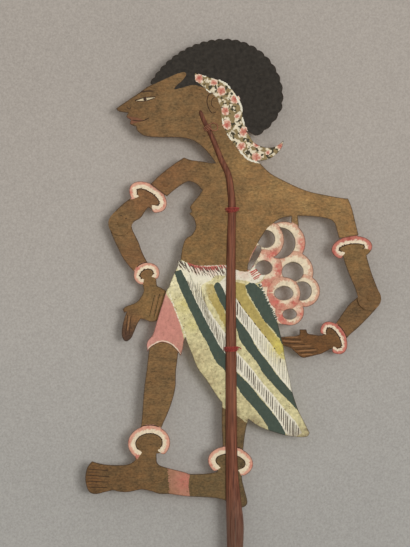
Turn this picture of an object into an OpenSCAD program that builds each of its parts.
// Shadow puppet of painted hide, held between the two tongues of a split rod.
// The arms are lapped behind the body and turn on knotted thongs at shoulder and elbow.
// Millimetres, +Z up. The figure lies in the XZ plane and its front looks along -Y.
// The origin is the middle of the hand grip of the rod.

/* [Hide] */
// Height of the figure, from the sole to the crown of the hair
figure_h = 457; // [380:1:560]
// Thickness of the hide
hide_t = 1.5; // [1:0.1:2.5]
// Clear gap between two hides that lap at a joint
lap_gap = 0.3; // [0.25:0.05:0.6]
// Width of the lines that are incised in the hide
line_w = 0.9; // [0.6:0.1:1.4]
// Depth of the lines that are incised in the hide
line_depth = 0.25; // [0.1:0.05:0.35]

/* [Hair] */
// Radius of the hair at the back of the head
hair_r = 57; // [54:1:60]
// How much further the hair reaches over the forehead
hair_reach = 18.6; // [12:0.1:22]
// Number of scallops along the rim of the hair
scallop_count = 25; // [12:1:36]
// Depth of one scallop
scallop_depth = 1.5; // [0.5:0.1:3]

/* [Bangles] */
// Width of the band of the armlets and the anklets
wide_band = 7.5; // [6:0.5:9]
// Width of the band of the bracelets
slim_band = 6; // [4.5:0.5:7.5]
// Half of the angle that a bangle leaves open
bangle_gap = 50; // [40:1:60]

/* [Arms] */
// Radius of the rounded hide at an elbow
elbow_r = 11.8; // [10:0.1:13]
// Radius of the tongue of an arm that hides behind the shoulder
tongue_r = 8; // [6:0.5:9]

/* [Knots] */
// Diameter of the thong that pins a joint
pin_d = 2.4; // [1.6:0.1:3.2]
// Clearance round the thong in its holes
pin_clear = 0.08; // [0.05:0.01:0.1]
// Diameter of a flat knot on the end of the thong
knot_d = 5.4; // [4.4:0.1:7]
// Height of a flat knot
knot_h = 0.9; // [0.5:0.1:1.4]

/* [Rod] */
// Diameter of the hand grip
grip_d = 16.6; // [14:0.2:20]
// Length of the straight hand grip
grip_len = 70; // [50:1:110]
// Length of the spike below the grip
spike_len = 80; // [50:1:120]
// Diameter of the blunt end of the spike
spike_end_d = 4; // [2:0.5:6]
// Length of rod between the grip and the sole
shank_len = 53; // [45:1:80]
// How far the split of the rod runs below the sole
split_below = 15; // [13:1:20]
// Diameter of the swelling under the foot
swell_d = 17.4; // [15:0.2:20]
// Diameter of the rod at the ankle
ankle_d = 12; // [10:0.2:14]
// Diameter of the rod at the thigh
thigh_d = 11; // [9:0.2:13]
// Diameter of the rod at the chest
chest_d = 8; // [7:0.2:10]
// Diameter of the rod at its tip on the cheek
tip_d = 4; // [3.6:0.1:5]
// Clearance between the tongues of the rod and the hide
clamp_clear = 0.05; // [0.02:0.01:0.1]

/* [Lashings] */
// Diameter of the lashing thread
thread_d = 0.9; // [0.7:0.1:1.4]
// Number of turns in one lashing
thread_turns = 4; // [2:1:6]
// Gap between the turns of a lashing
thread_gap = 0.45; // [0.45:0.05:0.8]
// Clearance between the thread and the rod that it binds
thread_lift = 0.05; // [0.03:0.01:0.1]
// Clearance of the thread in its slots through the hide
thread_clear = 0.2; // [0.15:0.05:0.3]
// Height of the chest lashing above the sole
chest_tie_h = 287; // [270:1:300]
// Height of the thigh lashing above the sole
thigh_tie_h = 148; // [130:1:165]
// Height of the cheek tie above the sole
cheek_tie_h = 369; // [362:1:374]

/* [Hidden] */

$fn = 48;

// The carver's pattern is drawn at full size for a figure of this height.
// A pattern point is [across from the grip axis, above the sole], and a third value marks a corner.
pattern_h = 457;
pattern_scale = figure_h / pattern_h;
sole_z = grip_len / 2 + shank_len;
corner = 1;
// Chords that draw the curve from one pattern point to the next, the round end of a line, and an oval
curve_steps = 4;
cap_steps = 10;
oval_steps = 48;

// Layers of hide, from the front to the back
body_y = 0;
upper_arm_y = hide_t + lap_gap;
forearm_y = 2 * (hide_t + lap_gap);

// Joints of the arms on the pattern
front_shoulder = [-69.5, 312.7];
front_elbow = [-115, 273.5];
rear_shoulder = [111.3, 268.9];
rear_elbow = [134.5, 198.5];

// Hair centre on the pattern, the span of the rim, and the lower back where the rim draws in
hair_centre = [-10, 400];
rim_start = 170;
rim_span = 222;
rim_crowding = 0.65;
reach_from = 90;
reach_power = 2.1;
nape_from = -10;
nape_tuck = 0.19;
scallop_steps = 5;

// Outline of head, neck and nape
head_points = [
    [-67, 417], [-85, 411.5], [-96, 404], [-108, 396], [-119, 388.5, corner],
    [-116, 385.5], [-107, 384, corner], [-108.5, 380], [-104, 377, corner],
    [-105, 373], [-99, 370.5, corner], [-97.5, 366], [-90, 361], [-75, 359.5],
    [-57, 359.5], [-43, 357], [-32, 349.5], [-24, 340.5], [-18, 332], [-7, 319, corner],
    [21, 325, corner], [14, 342], [7, 357], [0, 387], [-30, 417]
];

// Outline of the tail of the headcloth, which curls up behind the nape
cloth_points = [
    [6, 382], [9, 370], [14, 362], [19, 354.5], [28, 350], [37, 349.5], [43, 352],
    [48.5, 356.5, corner], [47, 350], [42, 343.5], [35, 338.5], [26, 336.3], [16, 337.5],
    [8, 344], [0, 354], [-6, 368]
];

// Outline of the trunk with both shoulders
trunk_points = [
    [-18, 334], [-32, 335.5], [-44, 337], [-51, 339.5, corner], [-61, 333], [-74, 323],
    [-84.5, 313, corner], [-68, 300.5, corner], [-62, 306], [-53, 312.5], [-46, 315.5],
    [-39, 313], [-32.5, 307, corner], [-36, 301.5], [-41.5, 295], [-45, 290],
    [-43.5, 285.7], [-45.5, 283], [-41, 278], [-39.3, 270], [-43, 262.5], [-49, 258.5],
    [-52, 252], [-53.5, 244], [-55, 233, corner], [-35, 212, corner], [10, 209, corner],
    [12.5, 223], [13.3, 233], [16, 242], [21, 251], [27, 261], [32, 268.5], [38, 273.5],
    [44, 277.5], [51, 280], [68, 281], [86.5, 279.5], [96, 277], [99.8, 273.5, corner],
    [102, 266], [104, 258.5, corner], [123.5, 262, corner], [120.4, 274.5], [116.8, 289],
    [113, 298.5, corner], [107, 299], [92.5, 301.5], [74, 305.5], [61, 310.5],
    [46.5, 317.5], [34.4, 324.5], [22, 336.5], [12, 341, corner]
];

// Lobes of the openwork fan behind the waist: centre and radius
fan_upper_inner = [29.5, 257, 19.7];
fan_upper_outer = [49, 254, 21.5];
fan_middle_inner = [28.5, 229, 18];
fan_middle_outer = [58, 225, 20.5];
fan_lower_inner = [49, 203.5, 16.5];
fan_lower_outer = [69, 206, 16];
fan_lowest = [55, 185.5, 14];
fan_lobes = [
    fan_upper_inner, fan_upper_outer, fan_middle_inner, fan_middle_outer,
    fan_lower_inner, fan_lower_outer, fan_lowest
];
// Eyes of the lobes: centre, half width and half height
fan_eyes = [
    [31, 258, 8.5, 8.5], [28.8, 229.2, 8.2, 6.8], [48.7, 203.7, 9.2, 6.6], [54.6, 182.8, 6.8, 5]
];
// Crescents: an eye that the lobe in front of it cuts into
fan_crescents = [
    [[44.5, 254, 15.3, 15.3], fan_upper_inner],
    [[57.6, 225, 10.6, 9.2], fan_lower_inner],
    [[67, 206, 9.2, 9.2], fan_lower_inner]
];
// Web between the hip cloth and the lobes next to it
fan_web_points = [
    [18, 222, corner], [36, 214, corner], [44, 203], [50, 186], [56, 171.6, corner],
    [42.6, 173.2, corner], [30, 194, corner]
];
// Slit between the trunk and the middle lobe, and the link from the shoulder to the top lobe
fan_slit_points = [[22, 250.5], [26, 247], [19.5, 234], [15, 227, corner], [11, 228, corner]];
fan_link_points = [[56.5, 283, corner], [62.5, 283, corner], [64, 270, corner], [56, 272, corner]];

// Outline of the hip cloth
skirt_points = [
    [-57.7, 236.5, corner], [-44, 231], [-27, 229], [-11, 231], [3, 225.5], [13, 224.5],
    [20, 229.5, corner], [28.5, 220.5, corner], [24.5, 212.5], [28, 204.7], [35.7, 189],
    [42.3, 174.6], [46, 160], [48.2, 152], [50, 139.3], [54.7, 118.4], [57.3, 105.3],
    [63.2, 87], [69.7, 74], [74.6, 64.2, corner], [72, 60.5], [63, 60], [49, 62], [33, 67],
    [22.7, 71.4], [13.5, 78], [1.7, 87], [-12, 93.6], [-21.8, 106.7], [-29.6, 118.4],
    [-37.5, 129], [-42.7, 142], [-48, 155], [-52, 168], [-57, 180], [-62.3, 194],
    [-67.5, 205, corner], [-64, 216], [-60.5, 224], [-57.2, 232]
];

// Outline of the short trousers
trouser_points = [
    [-65, 211], [-73, 192], [-78, 176], [-82, 163], [-87, 156.5], [-88.5, 152, corner],
    [-87.5, 145, corner], [-83, 150.5], [-74, 154.5], [-65, 152.4], [-59, 147],
    [-54.2, 141, corner], [-52, 149], [-50, 159], [-40, 167, corner], [-45, 207, corner]
];

// Outlines of the legs and of the two feet, which are cut as one strip
front_leg_points = [
    [-85, 157, corner], [-86.4, 144], [-88.5, 126], [-91, 107], [-92.5, 87], [-94, 71],
    [-97.5, 57], [-99.5, 45], [-100, 29, corner], [-85, 12, corner], [-78, 29, corner],
    [-78.5, 45], [-77, 59], [-72.5, 72], [-68, 82], [-63.6, 93.6], [-59.7, 109],
    [-59, 126], [-57, 143], [-57, 155, corner]
];
rear_leg_points = [
    [-13, 99, corner], [-13.3, 72], [-12.5, 50], [-16, 37], [-18, 24, corner],
    [-10, 12, corner], [5, 12, corner], [7, 24], [8, 45], [10.5, 66], [14, 80], [17, 92, corner]
];
feet_points = [
    [-143, 35.7, corner], [-147.5, 30], [-149.7, 20.5], [-148.5, 11], [-145, 4.5],
    [-138.3, 3], [-130, 5], [-121.7, 6.7], [-116.6, 5.4], [-106.4, 5], [-94, 7.5],
    [-83.5, 5.8], [-75.8, 3.2], [-65.6, 3], [-47.8, 0.7], [-32.4, 0], [-19.7, -1],
    [-10.8, -3], [-2, -8], [5.8, -10.4], [10.3, -9], [12.4, -4.5], [9.6, 7], [7, 18],
    [7, 27, corner], [-5, 29, corner], [-17.8, 25.6, corner], [-22.2, 24.3],
    [-32.4, 23.1], [-45, 23], [-50.3, 24.8], [-68, 29.2], [-75.8, 32],
    [-78.4, 35.8, corner], [-100, 37, corner], [-104, 33.8], [-111.5, 32], [-127, 32.2],
    [-137, 33.9]
];

// Outlines of the arms
front_upper_arm_points = [
    [-96, 308, corner], [-104.4, 299.2], [-112, 293.4], [-122.2, 283.2],
    [-126.3, 277.5, corner], [-103.7, 271.7, corner], [-100.6, 275.6],
    [-94.2, 279.4], [-89, 287], [-82, 294], [-78, 302, corner]
];
front_forearm_points = [
    [-126.7, 273, corner], [-123.5, 263], [-118.4, 251.3], [-112, 238.6], [-105, 229.5],
    [-97, 221], [-92.5, 212], [-91.6, 205.4], [-96.7, 196.5], [-103.1, 192.7],
    [-109.5, 190.5], [-112.5, 187.5, corner], [-111, 184, corner], [-108.5, 185, corner],
    [-110.8, 178.6], [-113.1, 168.4], [-113, 160], [-109.5, 155.5], [-104.4, 158.2],
    [-101.2, 164.6], [-98, 172.3], [-94.5, 178, corner], [-90, 177.2], [-85, 175.2],
    [-79, 176], [-75, 181], [-71, 195], [-69, 206, corner], [-74, 209.2], [-78, 211.5],
    [-79, 218], [-82, 225], [-87.8, 234.8], [-93, 245], [-96.7, 255.2], [-101.8, 265.4],
    [-103.7, 271, corner]
];
rear_upper_arm_points = [
    [131, 247, corner], [132, 240], [137, 223.2], [142.8, 208.3], [146, 200, corner],
    [123, 200, corner], [119.8, 209.4], [114, 223.2], [109, 237],
    [107, 247, corner]
];
rear_forearm_points = [
    [146.8, 198, corner], [142.8, 190], [133.6, 179.6], [123.2, 169.2], [113.5, 160.5],
    [107, 152], [100, 149.5], [96, 148], [87.7, 143.5], [83, 142.2], [73.9, 140],
    [67, 139.4], [60.1, 145], [55.5, 149], [49.8, 150.7], [45, 154], [45, 159],
    [51, 160.3], [60.1, 160.8], [64.7, 162.4, corner], [64.7, 167.5, corner],
    [71.6, 167.5, corner], [73, 163.5], [78.5, 162.4], [85.4, 161.5], [92, 164],
    [98, 170], [102, 175], [108.3, 184.2], [115.2, 193.4], [123.2, 200, corner]
];

// Bangles: centre, half width, half height, and the direction in which the bangle opens
front_armlet = [[-87, 300], 20.8, 13, 237];
front_bracelet = [[-88.5, 223], 13.2, 11, 291];
rear_armlet = [[117, 249], 20.5, 12, 277];
rear_bracelet = [[99, 159], 18, 11.5, 212];
front_anklet = [[-86, 54], 21.2, 17.5, 276];
rear_anklet = [[-4.5, 35], 22.7, 15.5, 261];
bangle_steps = 28;
// Half of the turn over which the outer rim of a bangle is incised where a limb enters it
rim_turn = 34;

// Points under the armlets where the tongues of the arms end
front_neck = [-79, 305];
rear_neck = [116, 257];

// Incised lines of the face, the hands and the toes, each from point to point
face_lines = [
    [[-99, 396.5], [-91, 399.6], [-80, 400.6]],
    [[-97, 395.6], [-89, 396.2], [-81, 399]],
    [[-102, 376.6], [-93, 376], [-86, 379]]
];
front_hand_lines = [
    [[-75.5, 203], [-81, 180]], [[-80.5, 202], [-85.5, 181]],
    [[-107.5, 182], [-109.5, 162]], [[-104, 181], [-106, 163]]
];
rear_hand_lines = [
    [[48, 158], [66, 157.5]], [[46.5, 154], [70, 152.5]],
    [[60, 147.5], [80, 148.5]], [[64, 144], [82, 145]]
];
toe_lines = [
    [[-147, 28], [-127, 26.5]], [[-148, 22], [-126, 20.5]],
    [[-148, 16], [-127, 15]], [[-146.5, 10], [-128, 9.5]]
];

// Path of the rod on the pattern, from the tip on the cheek to the ankle
rod_end = [-34.9, 386.4];
rod_tip = [-34, 384];
rod_cheek = [-31, 376];
rod_jaw = [-23, 360];
rod_neck = [-14, 338];
rod_collar = [-7, 323];
rod_breast = [-4.5, 308];
rod_chest = [-3, 289];
rod_waist = [-4, 237];
rod_thigh = [-4, 147];
rod_ankle = [-3.5, 42];
rod_sole = [-2, 3];
rod_upper = [rod_chest, rod_breast, rod_collar, rod_neck, rod_jaw, rod_cheek, rod_tip];
rod_sides = 16;
// How far the swept rod enters the turned grip, and the shoulder that the grip leaves round it
rod_overlap = 1;
grip_shoulder = 0.3;

// Chords of the round side of a knot
knot_steps = 6;

// Turned sides and rings of the thread
thread_sides = 6;
thread_rings = 24;
thread_pitch = thread_d + thread_gap;
thread_slot_w = thread_d + 2 * thread_clear;
thread_span = thread_turns * thread_pitch;

// Reach of the cutting block that splits the rod, clear past every side
cut_reach = 2 * figure_h;

// Points and curves

function place(p) = [pattern_scale * p[0], sole_z + pattern_scale * p[1]];
function spot(p) = [p[0], p[1]];
function is_corner(p) = len(p) > 2;
function around(points, i) = points[(i + len(points)) % len(points)];
function mid(a, b) = (a + b) / 2;
function unit(v) = v / norm(v);

// Smooth curve through b and c, whose ends lean on the points before and after them
function blend(a, b, c, d, t) =
    (2 * b + (c - a) * t + (2 * a - 5 * b + 4 * c - d) * t * t + (3 * b - a - 3 * c + d) * t * t * t) / 2;

// Closed outline through pattern points, broken at the corners
function outline(points) = [
    for (i = [0 : len(points) - 1])
        let (b = around(points, i))
        let (c = around(points, i + 1))
        let (a = is_corner(b) ? b : around(points, i - 1))
        let (d = is_corner(c) ? c : around(points, i + 2))
        let (steps = is_corner(b) && is_corner(c) ? 1 : curve_steps)
            for (s = [0 : steps - 1])
                blend(spot(a), spot(b), spot(c), spot(d), s / steps)
];

// Twice the area inside a closed outline, negative if it runs clockwise
function twice_area(points) =
    [for (p = points) 1] * [for (i = [0 : len(points) - 1]) cross(points[i], around(points, i + 1))];
function anticlockwise(points) =
    twice_area(points) > 0 ? points : [for (i = [len(points) - 1 : -1 : 0]) points[i]];

// Open curve through a list of vectors, both ends included
function open_curve(points) = [
    for (i = [0 : len(points) - 2])
        let (a = points[max(i - 1, 0)])
        let (d = points[min(i + 2, len(points) - 1)])
        let (last = i == len(points) - 2 ? curve_steps : curve_steps - 1)
            for (s = [0 : last])
                blend(a, points[i], points[i + 1], d, s / curve_steps)
];

// Stroke of constant width with round ends along a few points

function stroke_heading(points, i) =
    let (before = points[max(i - 1, 0)])
    let (after = points[min(i + 1, len(points) - 1)])
    atan2(after[1] - before[1], after[0] - before[0]);
function around_point(p, radius, angle) = p + radius * [cos(angle), sin(angle)];
function stroke_cap(p, radius, from) = [
    for (k = [1 : cap_steps - 1])
        around_point(p, radius, from - 180 * k / cap_steps)
];
function stroke(points, width) =
    let (last = len(points) - 1)
    let (radius = width / 2)
    concat(
        [for (i = [0 : last]) around_point(points[i], radius, stroke_heading(points, i) + 90)],
        stroke_cap(points[last], radius, stroke_heading(points, last) + 90),
        [for (i = [last : -1 : 0]) around_point(points[i], radius, stroke_heading(points, i) - 90)],
        stroke_cap(points[0], radius, stroke_heading(points, 0) - 90)
    );

// Hair

function rim_angle(u) = rim_start - rim_span * (rim_crowding * u + (1 - rim_crowding) * u * u);
function rim_reach(angle) =
    angle > reach_from ? hair_reach * pow((angle - reach_from) / (rim_start - reach_from), reach_power) :
    angle < nape_from ? nape_tuck * (angle - nape_from) : 0;
function rim_point(u, bump) =
    let (angle = rim_angle(u))
    hair_centre + (hair_r + rim_reach(angle) + bump) * [cos(angle), sin(angle)];

hair_points = concat(
    [
        for (i = [0 : scallop_count - 1])
            for (s = [0 : scallop_steps - 1])
                rim_point(
                    (i + s / scallop_steps) / scallop_count,
                    scallop_depth * sin(180 * s / scallop_steps)
                )
    ],
    [rim_point(1, 0), [10, 367], [-35, 387]]
);

// Bangles

// Point of a bangle at a turn from its open side, that far inside its outer rim
function bangle_point(bangle, inset, turn) =
    let (u = (bangle[1] - inset) * sin(turn))
    let (v = (bangle[2] - inset) * cos(turn))
    let (open = bangle[3])
    bangle[0] + v * [cos(open), sin(open)] + u * [sin(open), -cos(open)];

function bangle_arc(bangle, inset, from, to) = [
    for (i = [0 : bangle_steps])
        bangle_point(bangle, inset, from + (to - from) * i / bangle_steps)
];

module bangle_strip(bangle, outer_inset, inner_inset, from, to) {
    sheet(concat(
        bangle_arc(bangle, outer_inset, from, to),
        bangle_arc(bangle, inner_inset, to, from)
    ));
}

// Band with round ends, and the limb that fills it
module bangle(bangle, band) {
    ends = [bangle_gap, 360 - bangle_gap];
    sheet(bangle_arc(bangle, 0, ends[0], ends[1]));
    for (turn = ends)
        translate(bangle_point(bangle, band / 2, turn))
            circle(d = band);
}

// Incised line along the inner rim of a band
module inner_rim(bangle, band) {
    bangle_strip(bangle, band, band + line_w, bangle_gap, 360 - bangle_gap);
}

// Incised line along the outer rim, where the limb enters the closed side
module outer_rim(bangle) {
    bangle_strip(bangle, -line_w, 0, 180 - rim_turn, 180 + rim_turn);
}

// Drawing

module sheet(points) {
    polygon(anticlockwise(points));
}

module drawn() {
    translate([0, sole_z])
        scale(pattern_scale)
            children();
}

module disc(lobe) {
    translate(spot(lobe))
        circle(r = lobe[2]);
}

module oval(eye) {
    sheet([
        for (i = [0 : oval_steps - 1])
            let (turn = 360 * i / oval_steps)
                spot(eye) + [eye[2] * cos(turn), eye[3] * sin(turn)]
    ]);
}

module line(points) {
    sheet(stroke(points, line_w));
}

module pin_hole(joint) {
    translate(place(joint))
        circle(d = pin_d + 2 * pin_clear);
}

// Rod: the stations of the swept part are [across, up, diameter]

function station(p, d) = [place(p)[0], place(p)[1], d];
rod_stations = open_curve(concat(
    [
        [0, sole_z - shank_len - rod_overlap, grip_d - 2 * grip_shoulder],
        [0, sole_z - shank_len, grip_d - 2 * grip_shoulder],
        [0, sole_z - shank_len / 2, swell_d],
        station(rod_sole, mid(ankle_d, swell_d)),
        station(rod_ankle, ankle_d),
        station(rod_thigh, thigh_d),
        station(rod_waist, mid(thigh_d, chest_d))
    ],
    [
        for (i = [0 : len(rod_upper) - 1])
            station(rod_upper[i], chest_d + (tip_d - chest_d) * i / (len(rod_upper) - 1))
    ],
    [station(rod_end, tip_d / 2)]
));
rod_x_table = [for (s = rod_stations) [s[1], s[0]]];
rod_d_table = [for (s = rod_stations) [s[1], s[2]]];
function rod_x(z) = lookup(z, rod_x_table);
function rod_d(z) = lookup(z, rod_d_table);

// Direction of the rod at a height, in the plane of the figure
lean_reach = 2;
function rod_lean(z) = unit([rod_x(z + lean_reach) - rod_x(z - lean_reach), 2 * lean_reach]);

// Sweeps

// Ring of points about a centre, in the plane of two unit vectors
function ring(centre, right, back, radius, sides) = [
    for (k = [0 : sides - 1])
        centre + radius * (cos(360 * k / sides) * right + sin(360 * k / sides) * back)
];

// Triangles that skin a tube of rings and close its two ends
function tube_faces(rings, sides) = concat(
    [
        for (i = [0 : rings - 2])
            for (k = [0 : sides - 1])
                let (n = (k + 1) % sides)
                    each [
                        [i * sides + k, (i + 1) * sides + k, i * sides + n],
                        [i * sides + n, (i + 1) * sides + k, (i + 1) * sides + n]
                    ]
    ],
    [for (k = [1 : sides - 2]) [0, k, k + 1]],
    [
        for (k = [1 : sides - 2])
            let (first = (rings - 1) * sides)
                [first, first + k + 1, first + k]
    ]
);

module tube(rings) {
    sides = len(rings[0]);
    polyhedron([for (r = rings) each r], tube_faces(len(rings), sides));
}

function rod_ring(i) =
    let (s = rod_stations[i])
    let (below = rod_stations[max(i - 1, 0)])
    let (above = rod_stations[min(i + 1, len(rod_stations) - 1)])
    let (lean = unit([above[0] - below[0], above[1] - below[1]]))
    ring([s[0], 0, s[1]], [lean[1], 0, -lean[0]], [0, 1, 0], s[2] / 2, rod_sides);

// Lashings: the thread winds round both tongues of the rod and passes through the hide beside them

function tie_z(tie_h) = sole_z + pattern_scale * tie_h;
function tie_centre(tie_h) = [rod_x(tie_z(tie_h)), tie_z(tie_h)];
function tie_radius(tie_h) =
    rod_d(tie_z(tie_h) - thread_span / 2) / 2 + thread_lift + thread_d / 2;

// Centre line of the thread: a helix that starts and ends behind the rod
function tie_point(tie_h, turn) =
    let (centre = tie_centre(tie_h))
    let (lean = rod_lean(tie_z(tie_h)))
    let (radius = tie_radius(tie_h))
    let (rise = thread_pitch * turn - thread_span / 2)
    let (angle = 90 + 360 * turn)
    let (flat = centre + rise * lean + radius * cos(angle) * [lean[1], -lean[0]])
    [flat[0], radius * sin(angle), flat[1]];

function tie_tangent(tie_h, turn) =
    unit(tie_point(tie_h, turn + 0.01) - tie_point(tie_h, turn - 0.01));

// Radial direction at a turn, square to the thread
function tie_radial(tie_h, turn) =
    let (lean = rod_lean(tie_z(tie_h)))
    let (angle = 90 + 360 * turn)
    let (out = [cos(angle) * lean[1], sin(angle), -cos(angle) * lean[0]])
    let (along = tie_tangent(tie_h, turn))
    unit(out - (out * along) * along);

function tie_ring(tie_h, turn, run_on) =
    let (along = tie_tangent(tie_h, turn))
    let (out = tie_radial(tie_h, turn))
    ring(tie_point(tie_h, turn) + run_on * along, out, cross(along, out), thread_d / 2, thread_sides);

function tie_turns() = [for (i = [0 : thread_turns * thread_rings]) i / thread_rings];

// Least gap of a lashing to itself, over points at least half a turn apart
function tie_gap(tie_h) =
    let (turns = tie_turns())
    min([
        for (a = turns)
            for (b = turns)
                if (b - a >= 0.5)
                    norm(tie_point(tie_h, a) - tie_point(tie_h, b)) - thread_d
    ]);

module lashing(tie_h) {
    echo(lashing_height = tie_h, least_gap = tie_gap(tie_h));
    turns = tie_turns();
    tube(concat(
        [tie_ring(tie_h, 0, -thread_d)],
        [for (turn = turns) tie_ring(tie_h, turn, 0)],
        [tie_ring(tie_h, thread_turns, thread_d)]
    ));
}

// Slots in the hide on both sides of the rod, for the turns of one lashing
module thread_slots(tie_h) {
    lean = rod_lean(tie_z(tie_h));
    tilt = atan2(-lean[0], lean[1]);
    translate(tie_centre(tie_h))
        rotate(tilt)
            for (side = [-1, 1])
                translate([side * tie_radius(tie_h), 0])
                    sheet(stroke([[0, -thread_span / 2], [0, thread_span / 2]], thread_slot_w));
}

// Flat drawings of the hides

module fan() {
    difference() {
        union() {
            for (lobe = fan_lobes)
                disc(lobe);
            sheet(outline(fan_link_points));
            sheet(outline(fan_web_points));
        }
        for (eye = fan_eyes)
            oval(eye);
        for (pair = fan_crescents)
            difference() {
                oval(pair[0]);
                disc(pair[1]);
            }
        sheet(outline(fan_slit_points));
    }
}

module body_drawing() {
    fan();
    sheet(hair_points);
    sheet(outline(head_points));
    sheet(outline(cloth_points));
    sheet(outline(trunk_points));
    sheet(outline(skirt_points));
    sheet(outline(trouser_points));
    sheet(outline(front_leg_points));
    sheet(outline(rear_leg_points));
    sheet(outline(feet_points));
    bangle(front_anklet, wide_band);
    bangle(rear_anklet, wide_band);
}

module body_lines() {
    for (points = concat(face_lines, toe_lines))
        line(points);
    for (anklet = [front_anklet, rear_anklet]) {
        inner_rim(anklet, wide_band);
        outer_rim(anklet);
    }
}

// Upper arm: the tongue behind the shoulder, the armlet and the arm down to the elbow
module upper_arm_drawing(shoulder, neck, elbow, armlet, arm_points) {
    sheet(stroke([shoulder, neck], 2 * tongue_r));
    disc([elbow[0], elbow[1], elbow_r]);
    sheet(outline(arm_points));
    bangle(armlet, wide_band);
}

module forearm_drawing(elbow, bracelet, arm_points) {
    disc([elbow[0], elbow[1], elbow_r]);
    sheet(outline(arm_points));
    bangle(bracelet, slim_band);
}

module forearm_lines(bracelet, hand_lines) {
    for (points = hand_lines)
        line(points);
    inner_rim(bracelet, slim_band);
    outer_rim(bracelet);
}

// Solids

module hide(layer_y) {
    translate([0, layer_y, 0])
        rotate([90, 0, 0])
            linear_extrude(height = hide_t, center = true)
                children();
}

// Cutter for lines on the front and the back of a hide
module incised(layer_y) {
    for (face = [-1, 1])
        translate([0, layer_y + face * hide_t / 2, 0])
            rotate([90, 0, 0])
                linear_extrude(height = 2 * line_depth, center = true)
                    drawn()
                        children();
}

module body_hide() {
    color("peru")
        difference() {
            hide(body_y)
                difference() {
                    drawn()
                        body_drawing();
                    pin_hole(front_shoulder);
                    pin_hole(rear_shoulder);
                    for (tie_h = [cheek_tie_h, chest_tie_h, thigh_tie_h])
                        thread_slots(tie_h);
                }
            incised(body_y)
                body_lines();
        }
}

module upper_arm(shoulder, neck, elbow, armlet, arm_points) {
    difference() {
        hide(upper_arm_y)
            difference() {
                drawn()
                    upper_arm_drawing(shoulder, neck, elbow, armlet, arm_points);
                pin_hole(shoulder);
                pin_hole(elbow);
            }
        incised(upper_arm_y)
            inner_rim(armlet, wide_band);
    }
}

module forearm(elbow, bracelet, arm_points, hand_lines) {
    difference() {
        hide(forearm_y)
            difference() {
                drawn()
                    forearm_drawing(elbow, bracelet, arm_points);
                pin_hole(elbow);
            }
        incised(forearm_y)
            forearm_lines(bracelet, hand_lines);
    }
}

module front_upper_arm() {
    color("sienna")
        upper_arm(front_shoulder, front_neck, front_elbow, front_armlet, front_upper_arm_points);
}

module rear_upper_arm() {
    color("sienna")
        upper_arm(rear_shoulder, rear_neck, rear_elbow, rear_armlet, rear_upper_arm_points);
}

module front_forearm() {
    color("saddlebrown")
        forearm(front_elbow, front_bracelet, front_forearm_points, front_hand_lines);
}

module rear_forearm() {
    color("saddlebrown")
        forearm(rear_elbow, rear_bracelet, rear_forearm_points, rear_hand_lines);
}

// Split rod: swept tongues and shank, turned grip and spike
module control_rod() {
    split_t = hide_t + 2 * clamp_clear;
    color("brown")
        union() {
            difference() {
                tube([for (i = [0 : len(rod_stations) - 1]) rod_ring(i)]);
                translate([-cut_reach / 2, -split_t / 2, sole_z - split_below])
                    cube([cut_reach, split_t, cut_reach]);
            }
            translate([0, 0, -grip_len / 2])
                cylinder(h = grip_len, d = grip_d);
            translate([0, 0, -grip_len / 2 - spike_len])
                cylinder(h = spike_len, d1 = spike_end_d, d2 = grip_d);
        }
}

// Knotted thong of a joint, from the front of one hide to the back of the hide behind it
module knot(joint, front_layer_y, back_layer_y) {
    front_seat = hide_t / 2 - front_layer_y;
    back_seat = -hide_t / 2 - back_layer_y - lap_gap;
    turns = [for (i = [0 : knot_steps]) 90 * i / knot_steps];
    front_knot = [for (turn = turns) [knot_d / 2 * cos(turn), front_seat + knot_h * sin(turn)]];
    back_knot = [for (turn = turns) [knot_d / 2 * sin(turn), back_seat - knot_h * cos(turn)]];
    pin = [[pin_d / 2, back_seat], [pin_d / 2, front_seat]];
    centre = place(joint);
    color("maroon")
        translate([centre[0], 0, centre[1]])
            rotate([90, 0, 0])
                rotate_extrude()
                    polygon(concat(back_knot, pin, front_knot));
}

module cheek_lashing() {
    color("indianred")
        lashing(cheek_tie_h);
}

module chest_lashing() {
    color("firebrick")
        lashing(chest_tie_h);
}

module thigh_lashing() {
    color("firebrick")
        lashing(thigh_tie_h);
}

module front_shoulder_knot() {
    knot(front_shoulder, body_y, upper_arm_y);
}

module front_elbow_knot() {
    knot(front_elbow, upper_arm_y, forearm_y);
}

module rear_shoulder_knot() {
    knot(rear_shoulder, body_y, upper_arm_y);
}

module rear_elbow_knot() {
    knot(rear_elbow, upper_arm_y, forearm_y);
}

body_hide();
front_upper_arm();
front_forearm();
rear_upper_arm();
rear_forearm();
control_rod();
cheek_lashing();
chest_lashing();
thigh_lashing();
front_shoulder_knot();
front_elbow_knot();
rear_shoulder_knot();
rear_elbow_knot();
